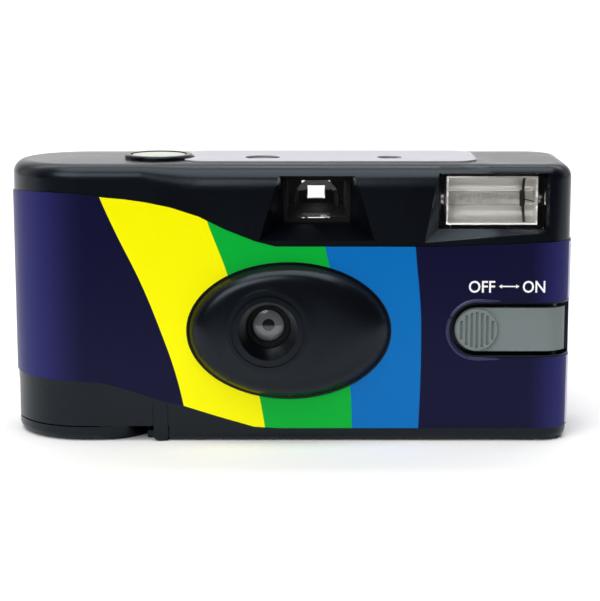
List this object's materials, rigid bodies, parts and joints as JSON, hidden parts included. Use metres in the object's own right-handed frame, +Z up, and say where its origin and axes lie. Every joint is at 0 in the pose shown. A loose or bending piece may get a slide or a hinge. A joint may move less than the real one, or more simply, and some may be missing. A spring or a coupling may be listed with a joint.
{
  "type": "disposable film camera",
  "caption": "Compact single-use film camera with wrapped paper label, oval lens boss, viewfinder hood, built-in flash, flash slide switch, shutter button and thumbwheel.",
  "frame": {"origin": "middle of the body's underside, where it rests: halfway between the left and right ends, 15 mm behind the flat front and 17 mm in front of the flat rear", "axes": "+X to the right seen from the front, +Y towards the rear, +Z up"},
  "size_m": [0.1214, 0.0363, 0.0609],
  "materials": {
    "black_plastic": "moulded ABS with a fine satin grain",
    "chassis_plastic": "matt black moulded styrene",
    "printed_label": "gloss laminated paper, navy, yellow, green and blue bands",
    "pale_label": "laminated paper, pale grey",
    "grey_plastic": "satin moulded plastic",
    "cream_plastic": "moulded plastic",
    "clear_plastic": "clear moulded acrylic",
    "flash_glass": "clear acrylic with prisms inside",
    "lamp_glass": "clear glass",
    "bright_metal": "bright sheet",
    "cartridge_metal": "lacquered tinplate",
    "dark_metal": "blackened sheet",
    "contact_metal": "phosphor bronze",
    "circuit_board": "phenolic board",
    "capacitor_sleeve": "shrink sleeve",
    "winding": "tape-wound coil",
    "battery_sleeve": "plain cell sleeve",
    "film_base": "polyester film"
  },
  "bodies": {
    "camera": {"aperture_stop": "dark_metal", "battery": "battery_sleeve", "button_spring": "bright_metal", "cartridge_cap": "bright_metal", "cartridge_foot": "bright_metal", "cartridge_shell": "cartridge_metal", "chassis": "chassis_plastic", "contact_negative": "contact_metal", "contact_positive": "contact_metal", "counter_window": "clear_plastic", "film_strip": "film_base", "finder_eyepiece": "clear_plastic", "finder_front_lens": "clear_plastic", "finder_tube": "chassis_plastic", "flash_board": "circuit_board", "flash_capacitor": "capacitor_sleeve", "flash_reflector": "bright_metal", "flash_transformer": "winding", "flash_tube": "lamp_glass", "flash_window": "flash_glass", "front_cover": "black_plastic", "lens_holder": "black_plastic", "lens_retainer": "black_plastic", "light_tunnel": "chassis_plastic", "ready_lamp": "lamp_glass", "ready_light": "clear_plastic", "rear_cover": "black_plastic", "switch_contact": "contact_metal", "sync_contact": "contact_metal", "taking_lens": "clear_plastic", "top_label": "pale_label", "wheel_pawl": "contact_metal", "wrap_label": "printed_label"},
    "door": {"cartridge_door": "black_plastic"},
    "wheel": {"thumbwheel": "black_plastic", "film_spool": "black_plastic"},
    "sprocket_shaft": {"sprocket": "cream_plastic"},
    "supply": {"supply_spool": "black_plastic", "film_roll": "film_base"},
    "counter": {"counter_dial": "cream_plastic"},
    "button": {"shutter_button": "cream_plastic"},
    "lever": {"release_lever": "grey_plastic"},
    "shutter": {"shutter_blade": "dark_metal"},
    "switch": {"flash_switch": "grey_plastic"}
  },
  "joints": [
    {"name": "thumbwheel_turn", "type": "hinge", "parent": "camera", "child": "wheel", "pos_m": [-0.0444, 0.001, 0.0533], "axis": [0, 0, 1], "continuous": true},
    {"name": "sprocket_turn", "type": "hinge", "parent": "camera", "child": "sprocket_shaft", "pos_m": [-0.0242, 0.00655, 0.0391], "axis": [0, 0, 1], "continuous": true},
    {"name": "supply_turn", "type": "hinge", "parent": "camera", "child": "supply", "pos_m": [0.037, 0.0053, 0.025], "axis": [0, 0, 1], "continuous": true},
    {"name": "counter_turn", "type": "hinge", "parent": "camera", "child": "counter", "pos_m": [-0.0104, 0.0034, 0.0565], "axis": [0, 0, 1], "continuous": true},
    {"name": "button_press", "type": "slide", "parent": "camera", "child": "button", "axis": [0, 0, -1], "range_m": [0, 0.0009], "stiffness_N_per_m": 700, "springref_m": -0.001, "deforming": ["button_spring"]},
    {"name": "lever_tilt", "type": "hinge", "parent": "camera", "child": "lever", "pos_m": [-0.0214, -0.0004, 0.0489], "axis": [0, -1, 0], "range_deg": [0, 13.5]},
    {"name": "shutter_swing", "type": "hinge", "parent": "camera", "child": "shutter", "pos_m": [0.0035, -0.0098, 0.031], "axis": [0, 1, 0], "range_deg": [0, 35], "stiffness_Nm_per_rad": 0.001, "springref_deg": -17.19},
    {"name": "flash_switch_slide", "type": "slide", "parent": "camera", "child": "switch", "axis": [1, 0, 0], "range_m": [0, 0.004]},
    {"name": "door_hinge", "type": "hinge", "parent": "camera", "child": "door", "pos_m": [-0.0278, 0.001, 0.0017], "axis": [0, -1, 0], "range_deg": [0, 90]}
  ],
  "couplings": [
    {"joint": "sprocket_turn", "follows": "thumbwheel_turn", "ratio": 0.90909},
    {"joint": "supply_turn", "follows": "thumbwheel_turn", "ratio": 0.67073},
    {"joint": "counter_turn", "follows": "thumbwheel_turn", "ratio": -0.0303},
    {"joint": "lever_tilt", "follows": "button_press", "rad_per_m": 250}
  ]
}
